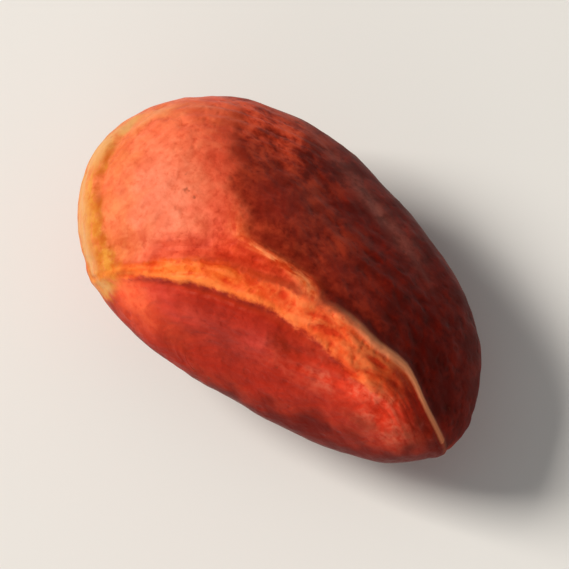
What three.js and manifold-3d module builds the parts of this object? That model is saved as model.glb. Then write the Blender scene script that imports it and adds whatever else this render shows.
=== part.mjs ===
import * as THREE from 'three';
import { mergeVertices } from 'three/addons/utils/BufferGeometryUtils.js';
import Module from 'manifold-3d';

// One whole kola nut, a single grown body. Millimetres, +Z up. The nut lies along X with its
// blunt tip toward +X and its broad end toward -X, on a small flat spot under its middle.
// The origin is the centre of its box, at the height of the surface it lies on.
//
// Places on the skin are given by two angles. ALONG runs round the nut in the plane of its length
// and height: 0 at the tip, 90 on top, 180 at the broad end, 270 underneath. ASIDE runs from -90 on
// the left flank (-Y), through 0, to 90 on the right flank (+Y).

// Body: an egg, in half sizes.
const HALF_LENGTH = 21.5;
const HALF_WIDTH = 13.4;
const HALF_HEIGHT = 10.6;
const TIP_TAPER = 0.115; // share of the girth lost toward the tip, and gained at the broad end
// The middle line bends sideways as a parabola of x / HALF_LENGTH.
const MIDDLE_SHIFT = 0.98;
const TIP_SHIFT = 0.38;
const END_BEND = 0.36;

// Pressed sides, where the nut grew against its neighbours in the pod. Each faces a heading
// (degrees from the tip toward +Y) and a rise (degrees above level), at its reach from the middle.
const PRESSED_SIDES = [
  { side: 'right shoulder', heading: 75, rise: 54, reach: 8.8 },
  { side: 'right of the tip', heading: 25, rise: 47, reach: 12.8 },
  { side: 'left hollow', heading: -71, rise: 22, reach: 10.05 },
  { side: 'cap of the broad end', heading: -135, rise: 57, reach: 15.4 },
  { side: 'right underside', heading: 81, rise: -48, reach: 11.4 },
  { side: 'left underside', heading: -86, rise: -45, reach: 9.5 },
  { side: 'belly', heading: 0, rise: -90, reach: 10.35 },
];
const EDGE_SHARPNESS = 11; // higher is a crisper edge between two pressed sides

// Crest of the suture: ASIDE as a short Fourier series of ALONG, degrees.
const CREST_MEAN = -26.9;
const CREST_WAVES = [
  { cosine: 20.8, sine: 0.6 },
  { cosine: -3.3, sine: 3.5 },
  { cosine: -1.4, sine: -1.4 },
];
const CREST_SWELL = 3.3; // degrees that the crest bulges right, near the tip
const CREST_SWELLS = { at: 36, over: 15 };

// The suture's lip lies between the crest and a crease to its left. Its width is in degrees of
// ASIDE: a narrow band all round, wider over the top and widest toward the tip.
const LIP_WIDTH = 3.2;
const LIP_TOP_WIDTH = 6.4;
const LIP_TOP = { at: 103, over: 24 };
const LIP_TIP_WIDTH = 14;
const LIP_TIP = { at: 50, over: 32 };
const LIP_HEIGHT = 0.2;
const LIP_EXTRA_HEIGHT = 0.28;
const LIP_HIGHEST = { at: 85, over: 50 };
const LIP_EDGE = 0.5; // the lip's rounded shoulder, past half of its width

const CREASE_DEPTH = 0.06;
const CREASE_EXTRA_DEPTH = 0.38;
const CREASE_DEEPEST = { at: 98, over: 34 };
const CREASE_WIDTH = 0.38;
const CREASE_OFFSET = 0.25; // the groove's floor lies this far left of the crease line

const RIDGE_HEIGHT = 0.28; // fine raised line along the crest, toward the tip
const RIDGE_WIDTH = 0.5;
const RIDGE_HIGHEST = { at: 45, over: 45 };

const TROUGH_DEPTH = 0.12; // shallow dip between the lip and the cap
const TROUGH_WIDTH = 0.8;
const TROUGH_OFFSET = 1.3;
const TROUGH_DEEPEST = { at: 110, over: 35 };

// Fold: the raised edge where the cap of the broad end meets the right shoulder. It runs nearly
// straight down the back of the nut and sweeps right as it meets the suture. Its place is a
// distance ACROSS, which depends on the distance UPWARD, both from the middle of the body.
const FOLD_ACROSS = { heading: 42.6, rise: 0 };
const FOLD_UPWARD = { heading: 132.6, rise: 24 };
const FOLD_PLACE = -3.35;
const FOLD_LEAN = -0.12; // millimetres across for each millimetre upward
const FOLD_SWEEP = 5.6;
const FOLD_SWEEP_FROM = 0; // the sweep is whole below this height and gone above the next
const FOLD_SWEEP_TO = 5.4;
const FOLD_HEIGHT = 0.26;
const FOLD_WIDTH = 0.9;
const FOLD_FOOT = 1; // the fold is highest up to here and fades over the next distance
const FOLD_FADE = 7;

// Rim: the lip goes on round the broad end as a low welt, level with a groove above it. Levels
// are from the middle of the body. It starts where the end rounds off and fades on the right.
const RIM_LEVEL = 3.7;
const RIM_REACH = 1.25;
const RIM_HEIGHT = 0.16;
const RIM_GROOVE_LEVEL = 5.15;
const RIM_GROOVE_WIDTH = 0.5;
const RIM_GROOVE_DEPTH = 0.12;
const RIM_FROM_X = -9.5;
const RIM_FULL_X = -12.5;
const RIM_FULL_Y = 0;
const RIM_TO_Y = 5;

const HOLLOW_DEPTH = 0.35; // dished left side, under the crease
const HOLLOW = { along: 98, aside: -60, over: 24 };

// Wrinkles follow the suture in patches: a height, the pitch between two of them, and how far
// their phase wanders along the nut, in radians, so that they bend, fork and fade.
const WRINKLES = [
  { height: 0.1, pitch: 1.7, wander: 2.6, patch: { along: 44, aside: -30, over: 19 } },
  { height: 0.08, pitch: 2.9, wander: 1.8, patch: { along: 138, aside: 34, over: 22 } },
  { height: 0.05, pitch: 2.3, wander: 3.1, patch: { along: 60, aside: 20, over: 28 } },
  { height: 0.06, pitch: 2.6, wander: 2.2, patch: { along: 300, aside: 8, over: 40 } },
];

// Swells: slow unevenness of the whole skin. Each is a plane wave, by its wave vector in
// radians per millimetre and its phase in radians.
const SWELL_HEIGHT = 0.04;
const SWELLS = [
  { wave: [0.62, 0.35, 0.21], phase: 0.4 },
  { wave: [-0.33, 0.71, 0.48], phase: 2.1 },
  { wave: [0.27, -0.52, 0.83], phase: 4.0 },
  { wave: [0.95, 0.44, -0.38], phase: 5.3 },
];

// Flat spot: the belly is cut level this far above its lowest point.
const REST_CUT = 0.25;

// Grid of the skin. Rows follow the suture: right flank to crest, crest to crease, crease to
// left flank. They crowd toward the suture by these powers.
const STEPS_ALONG = 140;
const ROWS_RIGHT = 19;
const ROWS_LIP = 6;
const ROWS_LEFT = 14;
const CROWD_RIGHT = 1.35;
const CROWD_LEFT = 1.6;

const DEGREE = Math.PI / 180;
const QUARTER_TURN = 90 * DEGREE;
const TURN = 360 * DEGREE;

/** Unit direction on the body's sphere for a place on the skin, both angles in radians. */
function directionOf(along, aside) {
  const reach = Math.cos(aside);
  return new THREE.Vector3(reach * Math.cos(along), Math.sin(aside), reach * Math.sin(along));
}

/** Unit vector that points to a heading and a rise, in degrees. */
function towards({ heading, rise }) {
  const level = Math.cos(rise * DEGREE);
  return new THREE.Vector3(
    level * Math.cos(heading * DEGREE),
    level * Math.sin(heading * DEGREE),
    Math.sin(rise * DEGREE),
  );
}

const ACROSS_FOLD = towards(FOLD_ACROSS);
const UP_FOLD = towards(FOLD_UPWARD);
const PRESSED_PLANES = PRESSED_SIDES.map((side) => ({ normal: towards(side), reach: side.reach }));

/** Soft bell, 1 at an ALONG angle and falling away over another, both in degrees. */
function nearAlong(along, { at, over }) {
  const away = THREE.MathUtils.euclideanModulo(along - at * DEGREE + TURN / 2, TURN) - TURN / 2;
  return Math.exp(-((away / (over * DEGREE)) ** 2));
}

/** Soft round patch, 1 at a place on the skin and falling away over an angle in degrees. */
function nearPlace(direction, { along, aside, over }) {
  const centre = directionOf(along * DEGREE, aside * DEGREE);
  return Math.exp(-(1 - direction.dot(centre)) / (1 - Math.cos(over * DEGREE)));
}

/** ASIDE of the suture's crest at an ALONG angle, radians. */
function crestAside(along) {
  const waves = CREST_WAVES.map(({ cosine, sine }, index) => {
    const angle = (index + 1) * along;
    return cosine * Math.cos(angle) + sine * Math.sin(angle);
  });
  const swell = CREST_SWELL * nearAlong(along, CREST_SWELLS);
  return (CREST_MEAN + waves.reduce((sum, wave) => sum + wave, 0) + swell) * DEGREE;
}

/** ASIDE of the crease at an ALONG angle, radians. The crest's bulge widens the lip. */
function creaseAside(along) {
  const extra = LIP_TOP_WIDTH * nearAlong(along, LIP_TOP) + LIP_TIP_WIDTH * nearAlong(along, LIP_TIP)
    + CREST_SWELL * nearAlong(along, CREST_SWELLS);
  return crestAside(along) - (LIP_WIDTH + extra) * DEGREE;
}

/** Point of the smooth body along a unit direction: the bent egg, cut softly by each plane. */
function bodyPoint(direction) {
  const { x, y, z } = direction;
  const girth = 1 - TIP_TAPER * x;
  const bend = MIDDLE_SHIFT + TIP_SHIFT * x - END_BEND * x * x;
  const point = new THREE.Vector3(
    HALF_LENGTH * x,
    HALF_WIDTH * girth * y + bend,
    HALF_HEIGHT * girth * z,
  );
  const crowding = PRESSED_PLANES.reduce((sum, { normal, reach }) => {
    const share = Math.max(0, point.dot(normal) / reach);
    return sum + share ** EDGE_SHARPNESS;
  }, 1);
  return point.multiplyScalar(crowding ** (-1 / EDGE_SHARPNESS));
}

/** Height of the suture's relief: lip, crease, fine ridge and trough. */
function sutureRelief(along, toCrest, toCrease) {
  const lipHalf = (toCrease - toCrest) / 2;
  const lipMiddle = (toCrest + toCrease) / 2;
  const lipHeight = LIP_HEIGHT + LIP_EXTRA_HEIGHT * nearAlong(along, LIP_HIGHEST);
  const lip = lipHeight * Math.exp(-((lipMiddle / (1.1 * lipHalf + LIP_EDGE)) ** 4));

  const creaseDepth = CREASE_DEPTH + CREASE_EXTRA_DEPTH * nearAlong(along, CREASE_DEEPEST);
  const crease = creaseDepth * Math.exp(-(((toCrease + CREASE_OFFSET) / CREASE_WIDTH) ** 2));

  const ridge = RIDGE_HEIGHT * nearAlong(along, RIDGE_HIGHEST)
    * Math.exp(-((toCrest / RIDGE_WIDTH) ** 2));

  const trough = TROUGH_DEPTH * nearAlong(along, TROUGH_DEEPEST)
    * Math.exp(-(((toCrest - TROUGH_OFFSET) / TROUGH_WIDTH) ** 2));

  return lip - crease + ridge - trough;
}

/** Height of the fold at a point of the smooth body, right of the suture's crest. */
function foldRelief(point, toCrest) {
  const upward = point.dot(UP_FOLD);
  const sweep = 1 - THREE.MathUtils.smoothstep(upward, FOLD_SWEEP_FROM, FOLD_SWEEP_TO);
  const beyond = point.dot(ACROSS_FOLD) - FOLD_PLACE - FOLD_LEAN * upward - FOLD_SWEEP * sweep;
  const fade = Math.exp(-((Math.max(0, upward - FOLD_FOOT) / FOLD_FADE) ** 2));
  const right = THREE.MathUtils.smoothstep(toCrest, -0.6, 0.6);
  return FOLD_HEIGHT * fade * right * Math.exp(-((beyond / FOLD_WIDTH) ** 2));
}

/** Height of the rim at a point of the smooth body: a welt and a groove, level round its end. */
function rimRelief(point) {
  const { x, y, z } = point;
  const atEnd = THREE.MathUtils.smoothstep(-x, -RIM_FROM_X, -RIM_FULL_X)
    * (1 - THREE.MathUtils.smoothstep(y, RIM_FULL_Y, RIM_TO_Y));
  const welt = RIM_HEIGHT * Math.exp(-(((z - RIM_LEVEL) / RIM_REACH) ** 4));
  const groove = RIM_GROOVE_DEPTH * Math.exp(-(((z - RIM_GROOVE_LEVEL) / RIM_GROOVE_WIDTH) ** 2));
  return atEnd * (welt - groove);
}

/** Height of one patch of wrinkles at a place on the skin. */
function wrinkleRelief({ height, pitch, wander, patch }, along, direction, toCrest) {
  const phase = TURN * (toCrest / pitch) + wander * (Math.sin(2 * along) + Math.sin(5 * along + 1));
  const fade = 0.65 + 0.35 * Math.sin(3 * along + toCrest / pitch);
  return height * fade * Math.sin(phase) * nearPlace(direction, patch);
}

/** Height of the wrinkles and swells at a place on the skin. */
function skinRelief(along, direction, point, toCrest) {
  const wrinkles = WRINKLES.reduce(
    (sum, wrinkle) => sum + wrinkleRelief(wrinkle, along, direction, toCrest),
    0,
  );
  const swell = SWELLS.reduce((sum, { wave, phase }) => {
    const [waveX, waveY, waveZ] = wave;
    return sum + Math.sin(waveX * point.x + waveY * point.y + waveZ * point.z + phase);
  }, 0);
  return wrinkles + SWELL_HEIGHT * swell;
}

/** Point of the finished skin for a place given in radians. */
function skinPoint(along, aside) {
  const direction = directionOf(along, aside);
  const point = bodyPoint(direction);
  const radius = point.length();
  const toCrest = (aside - crestAside(along)) * radius;
  const toCrease = (aside - creaseAside(along)) * radius;
  const hollow = HOLLOW_DEPTH * nearPlace(direction, HOLLOW);
  const relief = sutureRelief(along, toCrest, toCrease) + foldRelief(point, toCrest)
    + rimRelief(point) + skinRelief(along, direction, point, toCrest) - hollow;
  const outward = new THREE.Vector3(
    direction.x / HALF_LENGTH,
    direction.y / HALF_WIDTH,
    direction.z / HALF_HEIGHT,
  ).normalize();
  return point.addScaledVector(outward, relief);
}

/** ASIDE of a row of the skin's grid, counted from the right flank's pole, radians. */
function rowAside(row, along) {
  const crest = crestAside(along);
  const crease = creaseAside(along);
  if (row <= ROWS_RIGHT) {
    const share = (1 - row / ROWS_RIGHT) ** CROWD_RIGHT;
    return crest + (QUARTER_TURN - crest) * share;
  }
  if (row <= ROWS_RIGHT + ROWS_LIP) {
    return THREE.MathUtils.lerp(crest, crease, (row - ROWS_RIGHT) / ROWS_LIP);
  }
  const share = ((row - ROWS_RIGHT - ROWS_LIP) / ROWS_LEFT) ** CROWD_LEFT;
  return crease - (QUARTER_TURN + crease) * share;
}

/** Closed skin of the nut: a sphere's grid, each of whose points is moved to the skin. */
function skinGeometry() {
  const rows = ROWS_RIGHT + ROWS_LIP + ROWS_LEFT;
  const sphere = new THREE.SphereGeometry(1, STEPS_ALONG, rows);
  const { position } = sphere.attributes;
  for (let index = 0; index < position.count; index += 1) {
    const row = Math.floor(index / (STEPS_ALONG + 1));
    const step = index % (STEPS_ALONG + 1);
    const atPole = row === 0 || row === rows;
    const along = atPole ? 0 : TURN * (0.5 - step / STEPS_ALONG);
    const point = skinPoint(along, rowAside(row, along));
    position.setXYZ(index, point.x, point.y, point.z);
  }
  return sphere;
}

const wasm = await Module();
wasm.setup();

/** Solid from a closed geometry. */
function solidOf(geometry) {
  const bare = geometry.clone();
  bare.deleteAttribute('normal');
  bare.deleteAttribute('uv');
  const merged = mergeVertices(bare, 1e-4);
  return new wasm.Manifold(new wasm.Mesh({
    numProp: 3,
    vertProperties: new Float32Array(merged.attributes.position.array),
    triVerts: new Uint32Array(merged.index.array),
  }));
}

/** Geometry from a solid. */
function geometryOf(solid) {
  const mesh = solid.getMesh();
  const geometry = new THREE.BufferGeometry();
  geometry.setAttribute('position', new THREE.BufferAttribute(mesh.vertProperties, 3));
  geometry.setIndex(new THREE.BufferAttribute(mesh.triVerts, 1));
  return geometry;
}

/** The nut with its belly cut level, set down on z = 0 with its box centred on the origin. */
function nutGeometry() {
  const skin = skinGeometry();
  skin.computeBoundingBox();
  const restLevel = skin.boundingBox.min.z + REST_CUT;
  const block = new THREE.BoxGeometry(3 * HALF_LENGTH, 3 * HALF_LENGTH, 2 * HALF_HEIGHT);
  block.translate(0, 0, restLevel - HALF_HEIGHT);
  const nut = geometryOf(solidOf(skin).subtract(solidOf(block)));
  nut.computeBoundingBox();
  const centre = nut.boundingBox.getCenter(new THREE.Vector3());
  nut.translate(-centre.x, -centre.y, -restLevel);
  nut.computeVertexNormals();
  return nut;
}

const nutSkin = new THREE.MeshStandardMaterial({ color: 0xb4442a, roughness: 0.55, metalness: 0 });

const nut = new THREE.Mesh(nutGeometry(), nutSkin);
nut.name = 'kola_nut';

const group = new THREE.Group();
group.add(nut);

export default group;
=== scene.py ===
"""A whole kola nut: its skin, colours and fine relief, on a plain pale floor in soft light.

The nut is one piece. Its skin is a surface of two parameters that follows the nut's suture, and it
stands for the frame's node of the same form. Lengths are millimetres inside the skin's formula and
metres in the scene.
"""

from __future__ import annotations

import logging
import math
from collections.abc import Mapping, Sequence
from dataclasses import dataclass
from enum import Enum, auto

import bpy
import numpy as np
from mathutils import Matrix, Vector


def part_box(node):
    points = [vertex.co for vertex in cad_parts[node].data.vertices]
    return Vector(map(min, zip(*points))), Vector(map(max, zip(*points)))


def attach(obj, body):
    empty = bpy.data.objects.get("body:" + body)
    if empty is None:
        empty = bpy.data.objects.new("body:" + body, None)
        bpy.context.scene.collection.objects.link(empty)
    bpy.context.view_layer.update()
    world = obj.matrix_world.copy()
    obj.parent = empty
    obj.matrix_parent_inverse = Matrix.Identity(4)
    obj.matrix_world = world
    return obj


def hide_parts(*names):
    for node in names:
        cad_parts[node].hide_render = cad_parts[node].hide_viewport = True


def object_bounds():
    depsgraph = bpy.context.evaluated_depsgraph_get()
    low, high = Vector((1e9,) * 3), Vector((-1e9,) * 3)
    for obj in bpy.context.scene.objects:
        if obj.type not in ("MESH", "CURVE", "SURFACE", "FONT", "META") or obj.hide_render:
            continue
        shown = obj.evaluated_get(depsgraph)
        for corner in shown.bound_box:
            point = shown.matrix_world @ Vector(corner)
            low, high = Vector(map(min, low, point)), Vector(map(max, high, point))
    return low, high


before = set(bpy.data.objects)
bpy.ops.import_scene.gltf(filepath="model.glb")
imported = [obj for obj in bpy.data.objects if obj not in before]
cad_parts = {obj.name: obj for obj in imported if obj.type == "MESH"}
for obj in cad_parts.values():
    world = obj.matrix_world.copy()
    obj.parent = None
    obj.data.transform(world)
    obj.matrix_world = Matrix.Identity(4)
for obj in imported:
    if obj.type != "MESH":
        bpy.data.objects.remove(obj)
CAD_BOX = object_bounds()

LOG = logging.getLogger("kola_nut")
NODE = "kola_nut"
BODY = "root"
MM = 0.001

Array = np.ndarray
Colour = tuple[float, float, float]


class Zone(Enum):
    """Parts of the skin that differ in colour, each a mask from 0 to 1 on the mesh. Some mark painted
    shade and painted highlights.
    """

    CAP = auto()
    CAP_EDGE = auto()
    # painted highlight: a broad pinkish patch on the cap's upper left
    CAP_PALE = auto()
    # painted shade: redder and darker in the shallow trough above the lip
    CAP_RED = auto()
    FOLD = auto()
    # the dark lobe: dark maroon skin, partly painted shade on the side turned from the light
    DUSK = auto()
    # painted shade: the dark lobe darker toward the tip, the right and the bottom
    DUSK_DEEP = auto()
    FLUSH = auto()
    LEFT = auto()
    HOLLOW = auto()
    ROSE = auto()
    FRECKLES = auto()
    BLUSH = auto()
    STREAKS = auto()
    BROWN = auto()
    # painted shade: darker low on the left flank, most toward the tip
    UNDER = auto()
    RIM = auto()
    # painted highlight: a pale band near the outline at the broad end's left
    RIM_EDGE = auto()
    RIM_GROOVE = auto()
    GILT = auto()
    GOLD = auto()
    # painted sheen: violet spots on the left hollow and on the dark lobe
    VIOLET = auto()
    # painted highlight: a pale line along the right shoulder's edge
    WORN = auto()
    LIP = auto()
    # painted highlight along the lip's raised lower edge
    BEAD = auto()
    SEAM = auto()
    # painted shade: darker along the crease, most where it is deepest
    CREASE = auto()
    # painted highlight: a pale line along the suture's crest
    RIDGE = auto()
    SHADE = auto()
    COURSE = auto()

    def layer(self) -> str:
        """Name of the mask on the mesh."""
        return f"zone_{self.name.lower()}"


# ---- Surface arithmetic ----


@dataclass(frozen=True)
class Bell:
    """A soft bell along the suture: its angle, its width in degrees and its strength."""

    at: float
    over: float
    share: float = 1.0

    def __call__(self, along: Array) -> Array:
        """Height of the bell: exp of minus the squared distance round the nut, in widths."""
        away = np.mod(along - math.radians(self.at) + math.pi, 2 * math.pi) - math.pi
        return self.share * np.exp(-((away / math.radians(self.over)) ** 2))


@dataclass(frozen=True)
class Edge:
    """A soft edge: the start and end of a rise, how far it strays and what it comes to."""

    start: float
    end: float
    stray: float = 0.0
    share: float = 1.0

    def __call__(self, value: Array, stray: Array | float = 0.0) -> Array:
        """Rise across the edge: the cubic 3tt - 2ttt of the part t of the way that is done."""
        done = np.clip((value + self.stray * stray - self.start) / (self.end - self.start), 0, 1)
        return self.share * done * done * (3 - 2 * done)


@dataclass(frozen=True)
class Band:
    """A soft band: its middle and reach, how far it strays and how strong it is."""

    middle: float
    reach: float
    stray: float = 0.0
    share: float = 1.0

    def __call__(self, value: Array, stray: Array | float = 0.0) -> Array:
        """Strength of the band: exp of minus the squared distance from its middle, in reaches."""
        away = (value + self.stray * stray - self.middle) / self.reach
        return self.share * np.exp(-(away**2))


@dataclass(frozen=True)
class Patch:
    """A soft round patch of skin about a place, fading over an angle, all in degrees."""

    along: float
    aside: float
    over: float

    def __call__(self, direction: Array) -> Array:
        """Strength of the patch: exp of minus the rise of the cosine over its width."""
        rise = 1 - direction @ direction_of(math.radians(self.along), math.radians(self.aside))
        return np.exp(-rise / (1 - math.cos(math.radians(self.over))))


@dataclass(frozen=True)
class Wrinkles:
    """A patch of wrinkles that follow the suture, with lengths in mm and their wander in radians.

    STEADY is the share of their height that doesn't come and go.
    """

    height: float
    pitch: float
    wander: float
    patch: Patch
    steady: float = 0.65

    def __call__(self, skin: Skin) -> Array:
        """Height of the wrinkles: a sine of the distance from the crest, whose phase wanders.

        Args:
            skin: places on the skin.

        Returns:
            Heights in millimetres.
        """
        along, lines = skin.along, skin.to_crest / self.pitch
        drift = np.sin(2 * along) + np.sin(5 * along + 1)
        fade = self.steady + (1 - self.steady) * np.sin(3 * along + lines)
        height = self.height * fade * np.sin(2 * math.pi * lines + self.wander * drift)
        return height * self.patch(skin.direction)


@dataclass(frozen=True)
class Spot:
    """A soft spot about a point, with a reach along each axis in mm, and its strength."""

    centre: tuple[float, float, float]
    reach: tuple[float, float, float]
    share: float = 1.0

    def __call__(self, point: Array) -> Array:
        """Strength of the spot: exp of minus the squared distance in reaches."""
        away = (point - np.array(self.centre)) / np.array(self.reach)
        return self.share * np.exp(-np.sum(away * away, axis=-1))


@dataclass(frozen=True)
class Threads:
    """Fibres along the suture: height and spacing in mm, how drawn out they are, and a seed."""

    height: float
    spacing: float
    squeeze: float
    seed: int

    def __call__(self, skin: Skin) -> Array:
        """Height of the fibres: an uneven field of the way across and the squeezed length."""
        course = [skin.to_crest, *(self.squeeze * skin.point[..., axis] for axis in (0, 2))]
        return self.height * random_field(np.stack(course, axis=-1), self.spacing, self.seed)


def direction_of(along: Array | float, aside: Array | float) -> Array:
    """Unit direction for a place on the skin, from two angles in radians.

    Args:
        along: round the nut in the plane of its length and height, from 0 at the tip over the top.
        aside: from minus a quarter turn on the left flank to a quarter turn on the right.

    Returns:
        The direction, with x, y and z on the last axis.
    """
    level = np.cos(aside)
    return np.stack([level * np.cos(along), np.sin(aside), level * np.sin(along)], axis=-1)


def random_field(points: Array, wavelength: float, seed: int, waves: int = 40) -> Array:
    """Uneven field of unit strength: a sum of plane waves with seeded headings and phases.

    Args:
        points: places, last axis 3, in the unit of the wavelength.
        wavelength: mean length of the waves.
        seed: number that fixes the draw.
        waves: how many waves are summed.

    Returns:
        The field at each place, about -2 to 2.
    """
    draw = np.random.default_rng(seed)
    headings = draw.normal(size=(waves, 3))
    headings /= np.linalg.norm(headings, axis=1, keepdims=True)
    rates = 2 * math.pi / wavelength * draw.uniform(0.7, 1.35, size=(waves, 1))
    phases = draw.uniform(0, 2 * math.pi, size=waves)
    total = np.zeros(points.shape[:-1])
    for rate, phase in zip(headings * rates, phases):
        total += np.cos(points @ rate + phase)
    return total * math.sqrt(2 / waves)


# ---- The nut ----


@dataclass(frozen=True)
class PressedSide:
    """A side pressed flat in the pod: its heading and rise in degrees and its reach in mm."""

    heading: float
    rise: float
    reach: float

    def normal(self) -> Array:
        """Outward direction of the side.

        Returns:
            The unit normal.
        """
        heading = math.radians(self.heading)
        rise = math.radians(self.rise)
        level = math.cos(rise)
        return np.array([level * math.cos(heading), level * math.sin(heading), math.sin(rise)])


@dataclass(frozen=True)
class Grid:
    """The skin's grid: steps round the nut, rows beside and across the lip, and how they crowd."""

    steps: int = 640
    rows_right: int = 84
    rows_lip: int = 24
    rows_left: int = 44
    crowd_right: float = 1.35
    crowd_left: float = 1.6

    def rows(self) -> int:
        """Number of rows from the right flank's pole to the left flank's."""
        return self.rows_right + self.rows_lip + self.rows_left


@dataclass(frozen=True)
class Marks:
    """Where the skin's colours lie: edges, bands and spots, in millimetres and in degrees. Some mark
    painted shade and painted highlights.
    """

    cap_foot: Edge = Edge(-5.0, 1.0, 0.8)
    cap_edge: Edge = Edge(-5.0, -0.6, 0.6, 0.8)
    cap_band: Band = Band(1.3, 1.6, share=0.95)
    cap_band_start: Edge = Edge(3.0, -2.0)
    cap_band_fade: Edge = Edge(-7.0, -10.5, share=0.8)
    # Painted highlight: a broad pinkish patch on the cap's upper left.
    cap_pale: Spot = Spot((-11.5, -4.0, 9.0), (5.6, 5.2, 5.0))
    # Painted shade in the shallow trough above the lip, and where it starts.
    cap_red: Band = Band(1.2, 1.9)
    cap_trough_shade_start: Edge = Edge(-8.0, -2.0, 0.8)
    fold: Band = Band(0.1, 0.75)
    fold_top: Edge = Edge(9.0, 1.5)
    shoulder: Edge = Edge(-1.0, 1.0)
    shoulder_place: float = 0.9
    shoulder_stray: float = 0.3
    shoulder_softness: float = 0.35
    shoulder_softens: Edge = Edge(2.5, 9.0, share=1.25)
    dusk_foot: Edge = Edge(-6.5, -1.0, 1.0)
    # Painted shade on the dark lobe: darker toward the tip, the right flank and the bottom, with a
    # darker spot on the right flank and a lighter one on top.
    deep_shade_slope: tuple[float, float, float] = (0.75, 0.55, -0.55)
    deep_shade: Edge = Edge(-5.0, 6.5, 0.9)
    deep_shade_spots: Sequence[Spot] = (
        Spot((-3.6, 9.0, 5.0), (4.2, 2.6, 3.2), 0.7),
        Spot((7.0, 2.2, 8.0), (4.5, 2.6, 2.6), -0.4),
    )
    flush: Spot = Spot((-10.0, 9.0, 6.0), (5.8, 3.4, 3.2))
    flush_start: Edge = Edge(-0.8, 1.6)
    # Painted sheen: two violet spots on the dark lobe.
    painted_sheen_spots: Sequence[Spot] = (
        Spot((-2.8, 2.8, 9.0), (3.6, 2.4, 2.2)),
        Spot((7.0, 2.2, 8.0), (4.2, 2.2, 2.4)),
    )
    # Painted highlight: a thin pale line along the right shoulder's edge.
    worn: Spot = Spot((4.0, 10.6, 3.2), (11.0, 2.2, 0.75))
    shade: Band = Band(1.05, 0.6)
    shade_run: Bell = Bell(55, 38)

    hollow: Edge = Edge(0.3, -0.3, 0.08)
    streaks: Band = Band(-5.2, 2.2, share=1.25)
    streaks_run: Bell = Bell(29, 25)
    blush: Spot = Spot((-9.5, -10.4, 4.2), (5.0, 3.0, 2.6))
    rose: Sequence[Spot] = (
        Spot((-4.8, -9.4, 5.8), (2.8, 1.8, 1.3)),
        Spot((3.4, -7.0, 6.3), (1.3, 1.3, 1.7), 0.75),
    )
    rose_stray: float = 0.2
    freckles: Spot = Spot((5.8, -6.0, 7.0), (1.9, 1.3, 1.0))
    # Painted sheen: a violet reflection on the left hollow.
    violet: Spot = Spot((0.6, -8.6, 5.2), (3.4, 2.0, 2.2))
    # Painted shade low on the nut, reaching higher toward the tip and weaker toward the broad end.
    under: Edge = Edge(2.8, -3.0, 0.9)
    under_slope: float = 0.09
    under_fade: Edge = Edge(-8.0, -14.0, -1.0, 0.75)

    end: Edge = Edge(-8.5, -11.5)
    end_right: Edge = Edge(7.0, -2.0, 1.2)
    rim_foot: Edge = Edge(-3.0, 2.0, 0.6)
    rim_taper: float = 0.35
    rim_taper_from: float = -6.0
    rim_top: Edge = Edge(1.0, 0.0)
    rim_top_place: float = 4.5
    rim_top_stray: float = 0.35
    rim_top_softness: float = 0.9
    rim_top_softens: float = 0.12
    rim_top_softens_from: float = -5.0
    # Painted highlight: a pale band low on the broad end's left, fading toward the right.
    rim_edge: Band = Band(2.3, 0.9, 0.2)
    rim_highlight_right: Edge = Edge(9.0, 2.0)
    rim_groove: Band = Band(4.85, 0.36, 0.12)
    rim_groove_right: Edge = Edge(2.0, -4.0)
    gilt: Edge = Edge(8.6, 4.8, 0.6)
    gold: Edge = Edge(6.0, -5.0, -1.2)

    brown: Spot = Spot((14.8, -2.3, 5.3), (2.6, 1.3, 2.0))
    lip_start: Edge = Edge(24, 50)
    lip_end: Edge = Edge(200, 150)
    # Least strength of the painted shade in the crease.
    crease_shade_least: float = 0.12
    # Where along the suture the painted highlight on the crest lies, and where it fades.
    ridge: Bell = Bell(32, 44)
    ridge_highlight_fade: Edge = Edge(57.296, 74.485, share=0.8)
    course: Edge = Edge(8.5, 4.0)
    course_middle: float = -2.0


@dataclass
class Skin:
    """Places on the skin with distances from its lines in mm, positive to the right.

    UP_FOLD is the height along the fold, STRAY an uneven field, and RIGHT a mask of the skin to
    the right of the suture.
    """

    along: Array
    direction: Array
    point: Array
    to_crest: Array
    to_crease: Array
    to_fold: Array
    up_fold: Array
    stray: Array
    right: Array


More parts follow.
